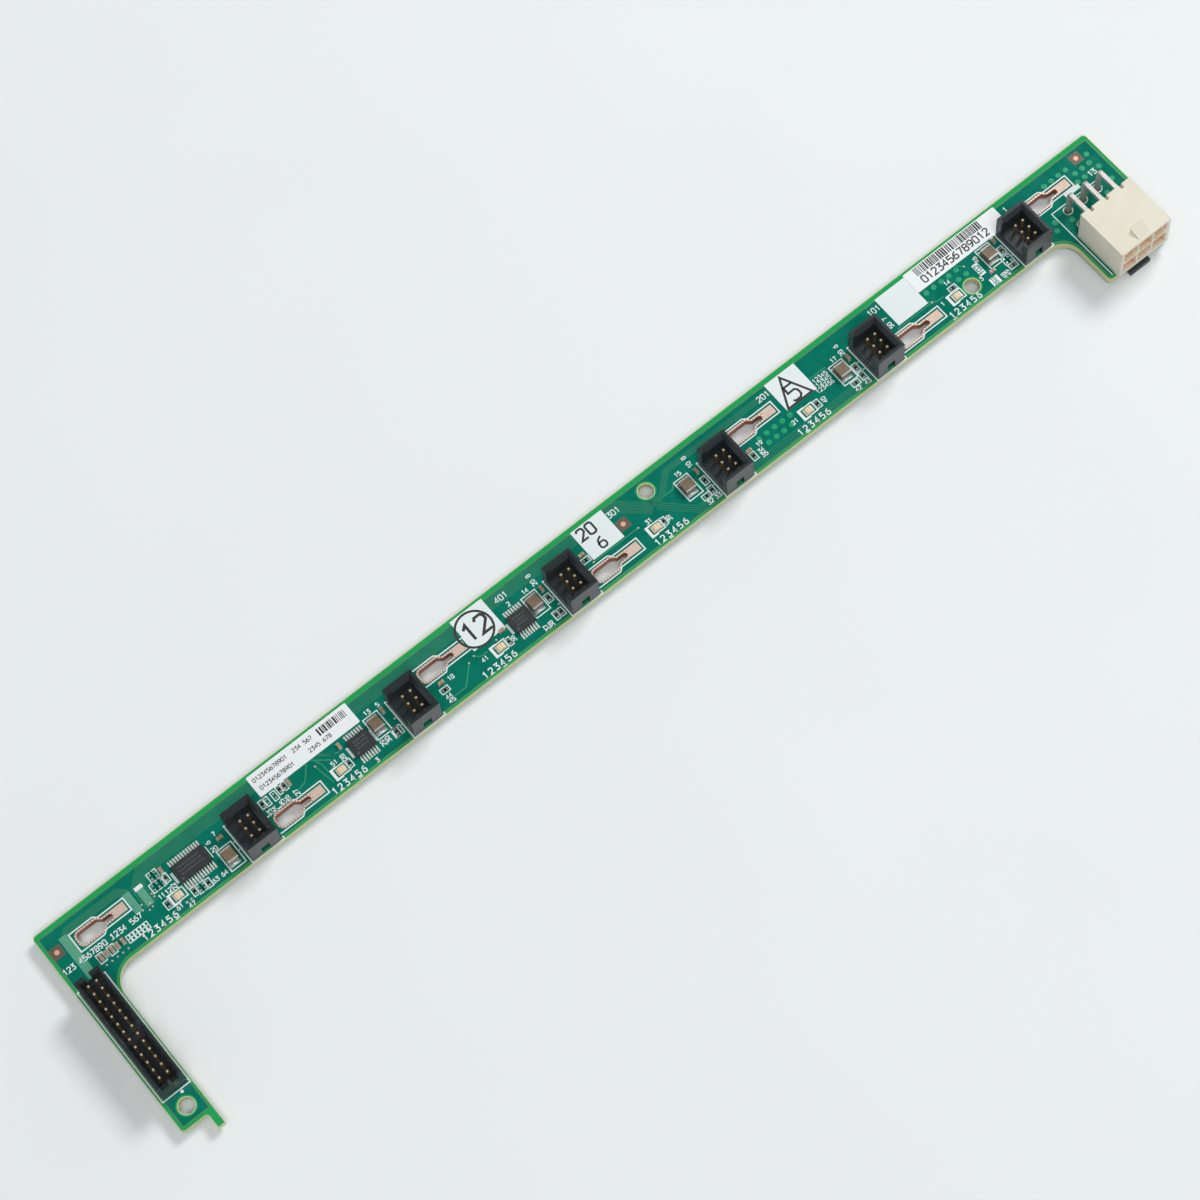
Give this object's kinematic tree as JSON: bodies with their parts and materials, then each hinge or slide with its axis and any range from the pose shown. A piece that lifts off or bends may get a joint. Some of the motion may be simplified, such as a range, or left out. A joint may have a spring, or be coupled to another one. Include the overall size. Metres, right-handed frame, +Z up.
{
  "type": "fan controller board",
  "caption": "Long narrow circuit board with an arm and a tab that carries a row of shrouded fan headers, a signal header, a right-angle power connector and plated keyholes.",
  "frame": {"origin": "on the axis of the bar's screw hole, at the board's underside", "axes": "+X along the bar towards the power connector, +Y towards the bar's plain long edge, +Z up out of the component side"},
  "size_m": [0.283, 0.0555, 0.0136],
  "materials": {
    "board_laminate": "green solder mask over glass-epoxy laminate",
    "copper_plating": "bare copper with a thin organic coat",
    "header_plastic": "moulded black glass-filled plastic",
    "gold_contact": "gold flash on square brass wire",
    "nylon_housing": "moulded natural nylon",
    "tin_plate": "matt tin plate",
    "solder": "wave-soldered tin-lead",
    "rubber_pad": "black foam rubber",
    "chip_epoxy": "moulded black epoxy",
    "capacitor_ceramic": "fired brown barium titanate",
    "resistor_glaze": "black glazed film on alumina",
    "led_lens": "milky cast epoxy",
    "label_paper": "white coated paper"
  },
  "bodies": {
    "root": {"circuit_board": "board_laminate", "keyhole_plating": "copper_plating", "fan_header_shroud_1": "header_plastic", "fan_header_pins_1": "gold_contact", "fan_header_shroud_2": "header_plastic", "fan_header_pins_2": "gold_contact", "fan_header_shroud_3": "header_plastic", "fan_header_pins_3": "gold_contact", "fan_header_shroud_4": "header_plastic", "fan_header_pins_4": "gold_contact", "fan_header_shroud_5": "header_plastic", "fan_header_pins_5": "gold_contact", "fan_header_shroud_6": "header_plastic", "fan_header_pins_6": "gold_contact", "signal_header_shroud": "header_plastic", "signal_header_pins": "gold_contact", "power_connector_housing": "nylon_housing", "power_terminals_upper": "tin_plate", "power_terminals_lower": "tin_plate", "connector_support_pad": "rubber_pad", "solder_joints": "solder", "driver_chip_body_1": "chip_epoxy", "driver_chip_leads_1": "tin_plate", "driver_chip_body_2": "chip_epoxy", "driver_chip_leads_2": "tin_plate", "driver_chip_body_3": "chip_epoxy", "driver_chip_leads_3": "tin_plate", "bulk_capacitor_body_1": "capacitor_ceramic", "bulk_capacitor_ends_1": "tin_plate", "fault_led_1": "led_lens", "bulk_capacitor_body_2": "capacitor_ceramic", "bulk_capacitor_ends_2": "tin_plate", "fault_led_2": "led_lens", "bulk_capacitor_body_3": "capacitor_ceramic", "bulk_capacitor_ends_3": "tin_plate", "fault_led_3": "led_lens", "bulk_capacitor_body_4": "capacitor_ceramic", "bulk_capacitor_ends_4": "tin_plate", "fault_led_4": "led_lens", "bulk_capacitor_body_5": "capacitor_ceramic", "bulk_capacitor_ends_5": "tin_plate", "fault_led_5": "led_lens", "bulk_capacitor_body_6": "capacitor_ceramic", "bulk_capacitor_ends_6": "tin_plate", "fault_led_6": "led_lens", "fault_led_terminals": "tin_plate", "chip_resistor_bodies": "resistor_glaze", "chip_resistor_ends": "tin_plate", "chip_capacitor_bodies": "capacitor_ceramic", "chip_capacitor_ends": "tin_plate", "part_label": "label_paper", "serial_label": "label_paper"}
  },
  "joints": []
}
